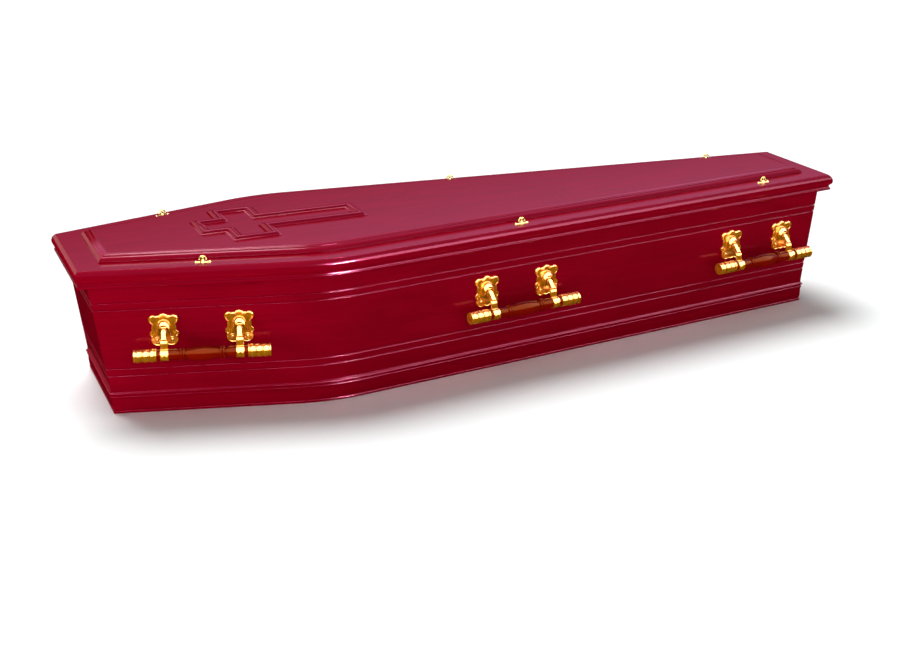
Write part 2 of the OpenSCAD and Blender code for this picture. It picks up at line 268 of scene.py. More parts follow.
def eased(parts, closed=True, steps=4):
    """Profile in metres through corners c, where each eased corner gives way to the quadratic Bezier curve
    from c + t a to c + t b about c, with a and b the directions of its two sides and t its ease. A point a
    little further out on each side keeps the flat beyond it flat when it is shaded."""
    rows = np.vstack(parts) * MM
    c, ease = rows[:, :2], rows[:, 2:]
    before, after = np.roll(c, 1, 0) - c, np.roll(c, -1, 0) - c
    if not closed:
        ease = ease.copy()
        ease[[0, -1]] = 0
    reach_a = np.maximum(np.linalg.norm(before, axis=1, keepdims=True), 1e-9)
    reach_b = np.maximum(np.linalg.norm(after, axis=1, keepdims=True), 1e-9)
    t = np.minimum(ease, 0.3 * np.minimum(reach_a, reach_b))
    a, b = before / reach_a * t, after / reach_b * t
    s = np.linspace(0, 1, steps + 1)[None, :, None]
    curve = c[:, None] + (1 - s) ** 2 * a[:, None] + s**2 * b[:, None]
    points = np.concatenate([(c + 1.5 * a)[:, None], curve, (c + 1.5 * b)[:, None]], 1).reshape(-1, 2)
    step = np.linalg.norm(points - np.roll(points, 1, 0), axis=1)
    step[0] = step[0] if closed else 1
    return points[step > 1e-7]


# ---------------------------------------------------------------- the plan of the coffin


def bend(wood):
    """Radius and centre of the shoulder's bend on the right side: a circle that touches the head stretch
    and the foot stretch of the lid's edge, which meet in the shoulder corner."""
    rise, fall = math.tan(HEAD_ANGLE), math.tan(FOOT_ANGLE)
    x = (FOOT_HALF - HEAD_HALF + HALF_LEN * (fall - rise)) / (rise + fall)
    y = -(HEAD_HALF + (x + HALF_LEN) * rise)
    reach = wood.bend_radius / math.cos((HEAD_ANGLE + FOOT_ANGLE) / 2)
    half = (FOOT_ANGLE - HEAD_ANGLE) / 2
    return wood.bend_radius, x - reach * math.sin(half), y + reach * math.cos(half)


def side_line(wood, inset, head_x, foot_x, steps=24, guard=6 * MM):
    """Points along the right side, one row for each inset: the head stretch from head_x, the bend as an arc
    about its centre with radius R - inset, and the foot stretch to foot_x. A point just before and just
    after the arc keeps the straight stretches flat when they are shaded."""
    radius, cx, cy = bend(wood)
    r = (radius - np.asarray(inset))[:, None]
    a = np.linspace(-HEAD_ANGLE, FOOT_ANGLE, steps + 1)[None, :]
    arc_points = np.stack([cx + r * np.sin(a), cy - r * np.cos(a)], -1)
    along_head = np.array([math.cos(HEAD_ANGLE), -math.sin(HEAD_ANGLE)])
    along_foot = np.array([math.cos(FOOT_ANGLE), math.sin(FOOT_ANGLE)])
    start, stop = arc_points[:, 0], arc_points[:, -1]
    head = start + along_head * ((np.asarray(head_x) - start[:, 0]) / along_head[0])[:, None]
    foot = stop + along_foot * ((np.asarray(foot_x) - stop[:, 0]) / along_foot[0])[:, None]
    return np.concatenate(
        [head[:, None], (start - guard * along_head)[:, None], arc_points,
         (stop + guard * along_foot)[:, None], foot[:, None]], 1)


def lid_mitre(profile, lean):
    """How far in from the lid's end each point is cut: as far as it is in from the side."""
    return profile[:, 0]


def box_mitre(profile, lean):
    """How far in from the lid's end each point is cut, on the leaning end of the box."""
    return END_INSET + lean * (RIM_Z - profile[:, 1]) + profile[:, 0] - SIDE_INSET


def run_lines(wood, profile, mitre):
    """Lines of the right side, one for each point of the profile."""
    line = side_line(wood, profile[:, 0], mitre(profile, HEAD_LEAN) - HALF_LEN,
                     HALF_LEN - mitre(profile, FOOT_LEAN))
    height = np.broadcast_to(profile[:, 1][:, None, None], line.shape[:2] + (1,))
    return np.concatenate([line, height], -1)


# ---------------------------------------------------------------- meshes


def wrapped(points, axis=0):
    """Points with the first row or column repeated after the last."""
    return np.concatenate([points, np.take(points, [0], axis)], axis)


def whole_turn(steps):
    """Angles all the way round, evenly spread."""
    return np.linspace(0, 2 * np.pi, steps, endpoint=False)


def lengths(points, axis):
    """Distance travelled along the rows or columns of a grid of points."""
    step = np.linalg.norm(np.diff(points, axis=axis), axis=-1)
    return np.concatenate([np.zeros_like(np.take(step, [0], axis)), np.cumsum(step, axis)], axis)


class Shell:
    """Patches of one piece, gathered before they become one mesh."""

    def __init__(self):
        self.points, self.faces, self.uvs, self.count = [], [], [], 0

    def grid(self, points, uv=None, rows_close=False, columns_close=False):
        """Quads between neighbouring points of a grid. The corners' UVs are those of a second grid, which
        has one more row or column where the first one closes; by default, distances in metres."""
        if uv is None:
            wide = wrapped(points) if rows_close else points
            wide = wrapped(wide, 1) if columns_close else wide
            uv = np.stack([lengths(wide, 1), lengths(wide, 0)], -1)
        rows, columns = points.shape[:2]
        i = np.arange(rows - (not rows_close))[:, None]
        j = np.arange(columns - (not columns_close))[None, :]
        turns = ((0, 0), (0, 1), (1, 1), (1, 0))
        quads = np.stack([(i + a) % rows * columns + (j + b) % columns for a, b in turns], -1)
        corners = np.stack([uv[i + a, j + b] for a, b in turns], 2)
        self.points.append(points.reshape(-1, 3))
        self.faces += (quads.reshape(-1, 4) + self.count).tolist()
        self.uvs.append(corners.reshape(-1, 2))
        self.count += rows * columns

    def flat(self, ring, axes):
        """One flat face inside a ring of points, with two of its coordinates as its UV."""
        self.points.append(ring)
        self.faces.append(list(range(self.count, self.count + len(ring))))
        self.uvs.append(ring[:, axes])
        self.count += len(ring)

    def tube(self, points, uv=None, axes=(0, 2)):
        """A closed section, one row for each of its points, carried along a path, with a flat face at both
        ends."""
        self.grid(points, uv, rows_close=True)
        self.flat(points[:, 0], axes)
        self.flat(points[::-1, -1], axes)

    def mesh(self, name, sharp=32.0):
        """The mesh of all patches, its seams and poles merged, its faces outwards, and its edges sharper
        than an angle kept sharp."""
        mesh = bpy.data.meshes.new(name)
        mesh.from_pydata(np.concatenate(self.points), [], self.faces)
        layer = mesh.uv_layers.new(name=GRAIN_UV)
        layer.data.foreach_set("uv", np.concatenate(self.uvs).astype(np.float32).ravel())
        work = bmesh.new()
        work.from_mesh(mesh)
        bmesh.ops.remove_doubles(work, verts=work.verts, dist=MERGE)
        bmesh.ops.dissolve_degenerate(work, edges=work.edges, dist=MERGE)
        bmesh.ops.recalc_face_normals(work, faces=work.faces)
        work.to_mesh(mesh)
        work.free()
        mesh.shade_smooth()
        mesh.set_sharp_from_angle(angle=math.radians(sharp))
        return mesh


def add_object(name, data):
    """A new object in the scene."""
    thing = bpy.data.objects.new(name, data)
    bpy.context.scene.collection.objects.link(thing)
    return thing


def add_piece(name, shell, material, body, slot, node, **options):
    """Puts a shell in the scene as a finished piece that rides on a body in a CAD node's place."""
    piece = add_object(name, shell.mesh(name, **options))
    piece.data.materials.append(material)
    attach(piece, body)
    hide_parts(node)


def across(points, side):
    """Points of the right side, or their mirror image on the left."""
    return points * np.array([1, -side, 1])


def carried(lines, travel, axes):
    """Shell of a closed profile carried along lines, one for each of its points. The UV is the travel along
    each line, and the way round the profile."""
    shell = Shell()
    shell.tube(lines, np.stack([travel, lengths(wrapped(lines), 0)[:, :1] + 0 * travel], -1), axes)
    return shell


def carried_along_side(wood, profile, mitre, side):
    """A closed profile carried along one side and cut in a mitre at both ends. The travel counts from the
    middle of the bend."""
    lines = across(run_lines(wood, profile, mitre), side)
    travel = lengths(wrapped(lines), 1)
    return carried(lines, travel - travel[:, [travel.shape[1] // 2]], (0, 2))


def carried_across_end(wood, profile, mitre, end):
    """A closed profile carried across the head (-1) or the foot (1), between the two mitres."""
    corners = run_lines(wood, profile, mitre)[:, 0 if end < 0 else -1]
    lines = np.stack([corners, across(corners, SIDES["left"])], 1)
    return carried(lines, wrapped(lines)[..., 1], (1, 2))


def slab(wood, profile, mitre):
    """Shell of a slab whose edge follows an open profile all the way round, with flat faces above and
    below. The flat faces are strips from side to side, with plain x and y as their UV."""
    right = run_lines(wood, profile, mitre)
    left = across(right, SIDES["left"])
    shell = Shell()
    climb = lengths(right, 0)[:, :1]
    for side in (right, left):
        shell.grid(side, np.stack([side[..., 0], climb + 0 * side[..., 0]], -1))
    for end in (0, -1):
        strip = np.stack([right[:, end], left[:, end]], 1)
        shell.grid(strip, np.stack([climb + 0 * strip[..., 1], strip[..., 1]], -1))
    for row in (0, -1):
        face = np.stack([right[row], left[row]])
        shell.grid(face, face[..., :2])
    return shell


# ---------------------------------------------------------------- materials


class Nodes:
    """Short calls that add nodes to a material or to the world."""

    def __init__(self, owner):
        owner.use_nodes = True
        self.tree = owner.node_tree

    def put(self, socket, value):
        """Sets a socket to a number or a colour, or links it to another node's output."""
        if isinstance(value, bpy.types.NodeSocket):
            self.tree.links.new(value, socket)
        else:
            socket.default_value = value

    def add(self, kind, inputs=None, **settings):
        """A node with those settings and inputs."""
        node = self.tree.nodes.new(kind)
        for key, value in settings.items():
            setattr(node, key, value)
        for key, value in (inputs or {}).items():
            self.put(node.inputs[key], value)
        return node

    def level(self, value, low, high, to_low, to_high):
        """A value's range, moved to another range."""
        return self.add("ShaderNodeMapRange", {
            "Value": value, "From Min": low, "From Max": high, "To Min": to_low, "To Max": to_high}
        ).outputs["Result"]

    def join(self, operation, a, b):
        """Two values through a Math node."""
        return self.add("ShaderNodeMath", {0: a, 1: b}, operation=operation).outputs["Value"]


class Finish(Nodes):
    """A new material with a Principled shader, and short calls for its patterns."""

    def __init__(self, name):
        self.material = bpy.data.materials.new(name)
        super().__init__(self.material)

    def place(self, scale, uv=True):
        """Coordinates stretched by a scale, from the grain's UV or from the object."""
        if uv:
            source = self.add("ShaderNodeUVMap", uv_map=GRAIN_UV).outputs["UV"]
        else:
            source = self.add("ShaderNodeTexCoord").outputs["Object"]
        return self.add("ShaderNodeMapping", {"Vector": source, "Scale": scale}).outputs["Vector"]

    def noise(self, vector, detail=3.0, roughness=0.5, distortion=0.0):
        """Noise from 0 to 1 on those coordinates."""
        return self.add("ShaderNodeTexNoise", {
            "Vector": vector, "Scale": 1.0, "Detail": detail, "Roughness": roughness,
            "Distortion": distortion}).outputs["Fac"]

    def ramp(self, value, low, high, colours):
        """Two colours, blended as a value goes from low to high."""
        node = self.add("ShaderNodeValToRGB", {"Fac": value})
        for element, at, colour in zip(node.color_ramp.elements, (low, high), colours):
            element.position = at
            element.color = (*colour, 1)
        return node.outputs["Color"]

    def bump(self, height, strength, distance):
        """A normal roughened by a height."""
        return self.add("ShaderNodeBump", {
            "Height": height, "Strength": strength, "Distance": distance}).outputs["Normal"]

    def shade(self, **inputs):
        """Sets or links the shader's sockets; a word's underscores stand for spaces."""
        shader = self.tree.nodes["Principled BSDF"]
        for key, value in inputs.items():
            self.put(shader.inputs[key.replace("_", " ")], value)
        return self.material


def once(name, make):
    """A material by name, made the first time that it is asked for."""
    return bpy.data.materials.get(name) or make(name)


def lacquered_wood(wood):
    """Gloss crimson lacquer: fine grain streaks along the board and broad soft mottling, under a coat."""

    def make(name):
        finish = Finish(name)
        streaks = finish.noise(finish.place((3.0, 160.0, 1.0)), detail=5.0, roughness=0.6, distortion=0.4)
        mottle = finish.noise(finish.place((5.0, 22.0, 1.0)), detail=3.0, roughness=0.55, distortion=0.8)
        both = finish.join(
            "ADD", finish.join("MULTIPLY", streaks, 0.45), finish.join("MULTIPLY", mottle, 0.55))
        colour = finish.ramp(both, 0.36, 0.62, (wood.lacquer_dark, wood.lacquer))
        ripple = finish.noise(finish.place((14.0, 60.0, 1.0)), detail=2.0)
        return finish.shade(
            Base_Color=colour,
            Roughness=finish.level(streaks, 0.3, 0.7, 0.1, 0.15),
            Normal=finish.bump(ripple, 0.012, 0.2 * MM),
            Specular_IOR_Level=0.16,
            Specular_Tint=(*wood.gloss, 1),
            Coat_Weight=0.05,
            Coat_Roughness=0.03,
        )

    return once("crimson_lacquer", make)


def stained_base(wood):
    """The underside: the same stain on plain board, matt, with its grain along the coffin."""

    def make(name):
        finish = Finish(name)
        along = finish.place((3.0, 70.0, 70.0), uv=False)
        grain = finish.noise(along, detail=6.0, roughness=0.6, distortion=0.6)
        dark = tuple(0.55 * c for c in wood.bare)
        return finish.shade(
            Base_Color=finish.ramp(grain, 0.35, 0.65, (dark, wood.bare)),
            Roughness=finish.level(grain, 0.3, 0.7, 0.5, 0.7),
            Normal=finish.bump(grain, 0.3, 0.4 * MM),
        )

    return once("stained_base_board", make)


def polished_metal(name, light, dark, coat):
    """Polished plating over cast metal: slightly uneven, darker and duller in places, under a clear coat."""

    def make(name):
        finish = Finish(name)
        cast = finish.noise(finish.place((260.0, 260.0, 260.0), uv=False), detail=3.0, roughness=0.5)
        wear = finish.noise(finish.place((90.0, 90.0, 90.0), uv=False), detail=4.0, roughness=0.6)
        return finish.shade(
            Base_Color=finish.ramp(wear, 0.3, 0.62, (dark, light)),
            Metallic=0.6,
            Roughness=finish.level(wear, 0.3, 0.7, 0.2, 0.12),
            Normal=finish.bump(cast, 0.12, 0.3 * MM),
            Coat_Weight=coat,
            Coat_IOR=2.0,
            Coat_Roughness=0.04,
        )

    return once(name, make)


def gilt_metal(fitting):
    """The orange gilt of the handles."""
    return polished_metal("polished_gilt", fitting.gilt, fitting.gilt_dark, 1.0)


def pale_brass(fitting):
    """The paler brass of the thumbscrews."""
    return polished_metal("pale_brass", fitting.brass, tuple(0.8 * c for c in fitting.brass), 0.2)


def turned_wood(fitting):
    """Gloss red-brown stain over turned wood, its grain along the bar."""

    def make(name):
        finish = Finish(name)
        grain = finish.noise(finish.place((220.0, 12.0, 1.0)), detail=5.0, roughness=0.6, distortion=0.5)
        dark = tuple(0.45 * c for c in fitting.stain)
        return finish.shade(
            Base_Color=finish.ramp(grain, 0.36, 0.64, (dark, fitting.stain)),
            Roughness=finish.level(grain, 0.3, 0.7, 0.12, 0.2),
            Normal=finish.bump(grain, 0.1, 0.2 * MM),
            Specular_IOR_Level=0.18,
            Specular_Tint=(1.0, 0.36, 0.05, 1),
            Coat_Weight=0.04,
            Coat_Roughness=0.05,
        )

    return once("stained_turned_wood", make)


# ---------------------------------------------------------------- boards and mouldings


def wall_profile(wood):
    """Section of a wall of the box: the outer face from the bottom up, with its V grooves, then the rim and
    the plain inner face."""
    outer, inner, ease = mm(SIDE_INSET), mm(SIDE_INSET + WALL), mm(wood.arris)
    half = mm(wood.groove_width) / 2
    parts = [corner(outer, 0, 0.4)]
    for height in groove_heights():
        parts += [corner(outer, height - half, 1.0), corner(outer + mm(wood.groove_depth), height, 0.5),
                  corner(outer, height + half, 1.0)]
    parts += [corner(outer, mm(RIM_Z), ease), corner(inner, mm(RIM_Z), ease), corner(inner, 0, 0.4)]
    return eased(parts)


def groove_heights():
    """Heights of the V grooves in millimetres: where the head board's points lie in from its face."""
    face_x = -HALF_LEN + END_INSET + HEAD_LEAN * (RIM_Z - head_board[:, 2])
    depth = head_board[:, 0] - face_x
    sunk = (depth > 1 * MM) & (depth < WALL / 2)
    return np.unique(np.round(mm(head_board[sunk, 2]), 1))


def plinth_profile():
    """Section of the plinth: a bead at the foot, a flat fascia, a taper, a small bead and a larger one."""
    steps = np.vstack([
        corner(3.9, 0, 0.4), arc(2.6, 4.2, 2.3, -40, 90, 10), corner(2.2, 7.6, 0.4), corner(3.6, 9, 0.6),
        corner(3.4, 22, 0.5), corner(2.2, 34, 0.5), arc(1.5, 38.6, 2.4, -40, 60, 8), corner(2.2, 42.2, 0.3),
        arc(2.2, 46.2, 2.8, -80, 90, 12), corner(0.6, 51, 0.4), corner(0.6, mm(PLINTH_Z), 0.3)])
    outer = mm(SIDE_INSET)
    steps[:, 0] = outer - steps[:, 0]
    return eased([steps, corner(outer, mm(PLINTH_Z)), corner(outer, 0)])


def lid_profile():
    """Edge of the lid board: a round nose under a small arris, listed upwards from its underside."""
    rim, top = mm(RIM_Z), mm(TOP_Z)
    nose = arc(19.3, rim, 19.3, 180, 118.2, 20)
    return eased([corner(40, rim), nose, corner(10.4, top, 0.35), corner(60, top)], closed=False)


def edge_profile():
    """Section of the moulding under the lid board: a bead at its foot and a round that goes on from the
    nose."""
    rim, low = mm(RIM_Z), mm(EDGE_Z)
    return eased([
        corner(5.2, low, 0.5), corner(3.7, low + 2, 0.5), arc(6.7, rim - 20, 3, 180, 100, 8),
        corner(7, rim - 15, 0.6), arc(12, rim, 12, 246, 181, 12), corner(0.05, rim), corner(22.5, rim),
        corner(22.5, low, 0.4)])


def panel_profile():
    """Edge of the raised panel, listed upwards: a small fillet, a quarter round, a step and a shallow round
    that ends in a quirk before the flat."""
    top, crown, foot = mm(TOP_Z), mm(CROWN_Z), 62
    return eased([
        corner(foot + 20, top), corner(foot, top), corner(foot, top + 2.8, 0.4),
        arc(foot + 16, top - 4.7, 16.5, 152, 102, 14), corner(foot + 13, crown - 3.4, 0.5),
        arc(foot + 23, crown - 13, 12.7, 128, 92, 8), corner(foot + 22.6, crown - 1.4, 0.3),
        corner(foot + 24, crown, 0.6), corner(foot + 40, crown)], closed=False)


def cross_profile():
    """Half section of the cross moulding, mirrored: a hollow, a quirk and a broad bead on top."""
    width, height = 30.0, 7.0
    half = np.vstack([
        corner(0, 0), corner(0, 1, 0.3), arc(0, 8.6, 7.6, -90, -18, 8), corner(8.2, height - 1.4, 0.3),
        corner(9, height - 2.2, 0.3), arc(width / 2, height - 7, 7, 137, 90, 8)])
    back = half[-2::-1] * np.array([-1, 1, 1]) + np.array([width, 0, 0])
    return eased([half, back])


def cross_outline(inset):
    """The twelve corners of the cross, one row each, set in by each inset: an offset of the outline moves a
    corner along its mitre."""
    low, high = (np.array(c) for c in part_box("lid_cross"))
    arm, top = 116 * MM, 59 * MM
    a, b = arm / 2 - inset, high[1] - inset
    x0, x1 = low[0] + inset, low[0] + top + inset
    x2, x3 = low[0] + top + arm - inset, high[0] - inset
    x = [x0, x1, x1, x2, x2, x3, x3, x2, x2, x1, x1, x0]
    y = [-a, -a, -b, -b, -a, -a, a, a, b, b, a, a]
    return np.stack([np.stack(x), np.stack(y)], -1)


def make_cross():
    """Shell of the cross moulding: its section carried round the outline with mitred corners."""
    profile = cross_profile()
    ring = cross_outline(profile[:, 0])
    height = np.broadcast_to(CROWN_Z + profile[:, 1][None, :, None], ring.shape[:2] + (1,))
    points = np.concatenate([ring, height], -1)
    shell = Shell()
    for i in range(len(points)):
        run = points[[i, (i + 1) % len(points)]]
        wide = wrapped(run, 1)
        shell.grid(run, np.stack([lengths(wide, 0), lengths(wide, 1)], -1), columns_close=True)
    return shell


# ---------------------------------------------------------------- fittings, in x along, out and up


# Where things lie in a fitting, in millimetres out from the side's face and up from the floor.
PIVOT_OUT, PIVOT_Z = 9.0, 204.0
BAR_OUT, BAR_Z = 38.0, 150.0
COLLAR_OUT, COLLAR_Z = 15.6, 194.0
ROOT = (11.4, 202.4)
KNEE = (33.5, 180.0)
STRAP_END = (36.2, 162.4)
PLATE_MIDDLE = 197.0


class Site:
    """Where a fitting stands: its origin on the side's face, and the directions along and out."""

    def __init__(self, side, place):
        joint = next(j for j in frame["joints"] if j["name"] == f"lift_{side}_{place}")
        axis = np.array(joint["axis"])
        self.along = axis * np.sign(axis[0])
        self.out = np.array([self.along[1] * -SIDES[side], self.along[0] * SIDES[side], 0])
        self.pivot = np.array(joint["pos_m"])
        self.name = f"{side}_{place}"

    def arms(self):
        """The two plates' letters, each with the function that puts points on the side's face there."""
        ends = [node_centre(f"handle_plate_{self.name}_{letter}") for letter in "ab"]
        half = np.dot(ends[1] - ends[0], self.along) / 2
        foot = self.pivot - PIVOT_OUT * MM * self.out
        foot[2] = 0
        for letter, turn in (("a", -1), ("b", 1)):
            origin = foot + turn * half * self.along
            yield letter, lambda p, origin=origin: self.to_world(p, origin)

    def bar_length(self):
        """Length of the bar with its caps."""
        points = node_points(f"handle_bar_{self.name}") @ self.along
        return points.max() - points.min()

    def to_world(self, points, origin):
        """Points in millimetres along, out and up, put in the row's frame about an origin."""
        p, up = points * MM, np.array([0, 0, 1.0])
        return origin + p[..., :1] * self.along + p[..., 1:2] * self.out + p[..., 2:] * up


def sites():
    """All the places where fittings stand."""
    return [Site(side, place) for side in SIDES for place in PLACES]


def add_turned(shell, profile, place, segments=64, upright=False, closed=False):
    """Surface of revolution about the x axis, of radius r at x: (x, r cos a, r sin a), or upright, about the
    z axis, put in place by a function, with its UV round it and along it. A closed profile makes a ring; an
    open one starts and ends on the axis."""
    a = whole_turn(segments)[None, :]
    x, r = profile[:, :1], profile[:, 1:2]
    points = np.stack([x + 0 * a, r * np.cos(a), r * np.sin(a)], -1)
    if upright:
        points = points[..., [1, 2, 0]]
    travel = lengths((wrapped(profile) if closed else profile)[:, None], 0)[:, 0] * MM
    uv = np.stack(np.broadcast_arrays(np.linspace(0, 1, segments + 1)[None, :], travel[:, None]), -1)
    shell.grid(place(points), uv, rows_close=closed, columns_close=True)


def drum(half_length, radius, ease=0.5):
    """Profile of a plain round bar with eased ends."""
    return np.array([[-half_length, 0], [-half_length, radius - ease], [ease - half_length, radius],
                     [half_length - ease, radius], [half_length, radius - ease], [half_length, 0]])


def hill(*distances):
    """exp(-d) of the summed squares of some distances, each already divided by its width."""
    return np.exp(-sum(d**2 for d in distances))


def rise(value, at, width):
    """From 0 below a place to 1 above it: 1 / (1 + exp((place - value) / width))."""
    return 1 / (1 + np.exp((at - value) / width))


def plate_outline(angle):
    """Distance from the plate's middle to its edge in each direction: as far as a ray goes through any of
    the discs that make up its lobes."""
    discs = np.array([
        [0, 222.5, 13], [12, 216.6, 14.4], [-12, 216.6, 14.4], [22.5, 221.5, 10.5], [-22.5, 221.5, 10.5],
        [25, 187, 7.6], [-25, 187, 7.6], [15.5, 173, 14.6], [-15.5, 173, 14.6], [0, 169, 10.6],
        [0, 200, 27.6]])
    x, z, radius = discs[:, :1], discs[:, 1:2] - PLATE_MIDDLE, discs[:, 2:]
    along = x * np.cos(angle) + z * np.sin(angle)
    room = radius**2 - (x**2 + z**2 - along**2)
    return np.where(room > 0, along + np.sqrt(np.maximum(room, 0)), 0).max(0)


def plate_height(fitting, x, z, edge):
    """Height of the plate's face: a field that falls off at the edge, a raised rim, two swelling top lobes,
    a dot under the crest, leaf strokes at the side lobes and a scroll in each bottom lobe. Each ridge is a
    bell curve of its distance, and a scroll is a wave of r / pitch - angle about its centre."""
    s = np.abs(x)
    top = rise(z, 214, 1.5)
    height = mm(fitting.plate_thickness) - 1.5 * np.clip(1 - edge / 1.1, 0, 1) ** 2
    height = height + (0.75 + 1.35 * top) * hill((edge - 1.9 - 1.3 * top) / (1.1 + 1.2 * top))
    height = height + 1.1 * hill((s - 22.5) / 6, (z - 222) / 6) + 0.9 * hill(s / 1.8, (z - 227.5) / 1.8)
    far = np.hypot(s - 17, z - 173)
    wave = 0.5 + 0.5 * np.cos(2 * np.pi * far / 4.4 - np.arctan2(z - 173, s - 17))
    height = height + 1.3 * wave * hill(far / 8.5) + 0.8 * hill(far / 2.0)
    strokes = 0.5 + 0.5 * np.cos(2 * np.pi * ((s - 24) * 0.9 + (z - 187) * 0.35) / 4.6)
    return height + 1.3 * strokes * hill((s - 24.5) / 4.5, (z - 187) / 6.5)


def add_plate(shell, fitting, place, rings=46, rays=176):
    """The shield: rings that shrink from the outline to the middle of the face, a wall down from the
    outline, and a flat back."""
    angle = whole_turn(rays)
    reach = plate_outline(angle)
    t = (1 - (1 - np.linspace(0, 1, rings)) ** 1.6)[:, None]
    x, z = t * reach * np.cos(angle), PLATE_MIDDLE + t * reach * np.sin(angle)
    face = np.stack([x, plate_height(fitting, x, z, (1 - t) * reach), z], -1)
    rim = face[-1:] * np.array([1, 0, 1])
    middle = np.broadcast_to([0, 0, PLATE_MIDDLE], rim.shape)
    points = np.concatenate([face, rim, middle])
    shell.grid(place(points), wrapped(points, 1)[..., [0, 2]] * MM, columns_close=True)


def add_hood(shell, fitting, place, middle=198.4, foot=184.5, steps=30):
    """The domed hood: a section of half-width a, height b and reach out, carried up one leg, over the
    half-ellipse (a cos t, b sin t) and down the other leg. The legs sway outwards as they go down."""
    r = mm(fitting.hood_radius)
    section = np.array([
        [r, 1.0, r + 4.6], [r - 0.1, 4.5, r + 4.5], [r - 0.9, 8.5, r + 3.4], [r - 2.4, 12.0, r + 1.0],
        [r - 4.3, 14.7, r - 2.0], [r - 5.6, 16.1, r - 3.6], [r - 6.3, 16.7, r - 4.5],
        [r - 7.0, 16.4, r - 5.0], [r - 7.4, 15.4, r - 5.2], [r - 7.6, 11.0, r - 5.2],
        [r - 7.6, 1.0, r - 5.2]])
    a, out, b = (column[:, None] for column in section.T)
    turn = np.linspace(0, np.pi, steps + 1)[None, 1:-1]
    down = np.linspace(1, 0, 14)[None, :]
    leg_x = a + 3.6 * down**2.2 + 0 * out
    leg_z = middle - (middle - foot) * down + 0 * a
    leg_out = 1 + (out - 1) * (1 - 0.62 * down**1.6)
    x = np.concatenate([leg_x, a * np.cos(turn), -leg_x[:, ::-1]], 1)
    z = np.concatenate([leg_z, middle + b * np.sin(turn), leg_z[:, ::-1]], 1)
    y = np.concatenate([leg_out, out + 0 * turn, leg_out[:, ::-1]], 1)
    shell.tube(place(np.stack([x, y, z], -1)))


def add_collar(shell, place, radius=7.6, thickness=0.8):
    """The thin ring in front of the tongue's root: a torus of tube radius t about a circle of radius R."""
    a, b = whole_turn(48)[None, :], whole_turn(10)[:, None]
    far = radius + thickness * np.cos(b)
    out = COLLAR_OUT + thickness * np.sin(b)
    points = np.stack([far * np.cos(a), out + 0 * a, COLLAR_Z + far * np.sin(a)], -1)
    shell.grid(place(points), rows_close=True, columns_close=True)


def add_limb(shell, path, half_width, thickness, ridge, place, columns=22):
    """A strap carried along a path in the out-up plane. Across it, s runs from -1 to 1: the front stands
    thickness / 2 + ridge * bell(|s| - 0.84) off the path, and the back lies flat behind it."""
    tangent = np.gradient(path, axis=0)
    tangent /= np.linalg.norm(tangent, axis=1, keepdims=True)
    normal = np.stack([-tangent[:, 1], tangent[:, 0]], 1)
    s = np.sin(np.linspace(-np.pi / 2, np.pi / 2, columns))
    half, ridge = thickness[:, None] / 2, ridge[:, None]
    lift = half * (1 - np.abs(s) ** 10 * 0.7) + ridge * hill((np.abs(s) - 0.84) / 0.13)
    lift = np.concatenate([lift, -half, -half], 1)
    s = np.concatenate([s, [1, -1]])
    centre = path[:, None] + lift[..., None] * normal[:, None]
    points = place(np.concatenate([half_width[:, None, None] * s[:, None], centre], -1))
    shell.grid(points, columns_close=True)
    shell.flat(points[0], [0, 2])
    shell.flat(points[-1, ::-1], [0, 2])


def smooth_path(corners, steps=12, reach=0.35, stops=64):
    """A path through corners, each rounded by the Bezier curve from c + t a to c + t b about c, as evenly
    spread points and how far each has travelled."""
    c = np.array(corners, float)
    pieces = [c[:1]]
    for before, here, after in zip(c[:-2], c[1:-1], c[2:]):
        t = np.linspace(0, 1, steps)[:, None]
        a, b = reach * (before - here), reach * (after - here)
        pieces.append(here + (1 - t) ** 2 * a + t**2 * b)
    pieces.append(c[-1:])
    rough = np.concatenate(pieces)
    travel = lengths(rough, 0)
    even = np.linspace(0, travel[-1], stops)
    return np.stack([np.interp(even, travel, rough[:, k]) for k in (0, 1)], 1), even


def add_arm(shell, fitting, place):
    """An arm: its pin and eye, the collar, the rounded tongue down to the knee, the flat strap with raised
    edges, and the ring round the bar."""
    for half_length, radius, segments in ((10.4, 2.45, 24), (6.1, 4.5, 32)):
        add_turned(shell, drum(half_length, radius), lambda p: place(p + [0, PIVOT_OUT, PIVOT_Z]), segments)
    add_collar(shell, place)
    path, travel = smooth_path([ROOT, KNEE, STRAP_END])
    knee = math.dist(ROOT, KNEE) - 2.0
    past = rise(travel, knee, 0.5)
    tip, root = (np.sqrt(np.clip(1 - (1 - np.clip(travel / reach, 0, 1)) ** 2, 0.002, 1))
                 for reach in (5.2, 10))
    shoulder = 1.1 * hill((travel - knee + 1.2) / 1.5)
    add_limb(shell, path, (5.9 + 2.75 * past + shoulder) * tip,
             (6.6 - 2.2 * past + 1.6 * shoulder * (1 - past)) * (0.4 + 0.6 * root),
             (0.9 - 0.35 * past) * root**6, place)
    add_ring(shell, fitting, lambda p: place(p + [0, BAR_OUT, BAR_Z]))


def add_ring(shell, fitting, place, segments=84, half=8.7, stops=21):
    """The ring round the bar: radius r(x, a) with raised edges, and thicker below a chevron whose apex
    points up the strap."""
    neck = mm(fitting.neck_radius) + 0.05
    x = np.concatenate([np.linspace(-half, half, stops), [half, 0, -half]])[:, None]
    a = whole_turn(segments)[None, :]
    below = rise(a, np.radians(66 + 34 * np.abs(x) / half), 0.02) * rise(-a, -np.radians(205), 0.05)
    outer = neck + 1.35 + 0.75 * below + 0.3 * hill((np.abs(x) - 8.0) / 0.7)
    r = np.where(np.arange(len(x))[:, None] < stops, outer, neck)
    points = np.stack([x + 0 * a, r * np.sin(a), r * np.cos(a)], -1)
    shell.grid(place(points), rows_close=True, columns_close=True)


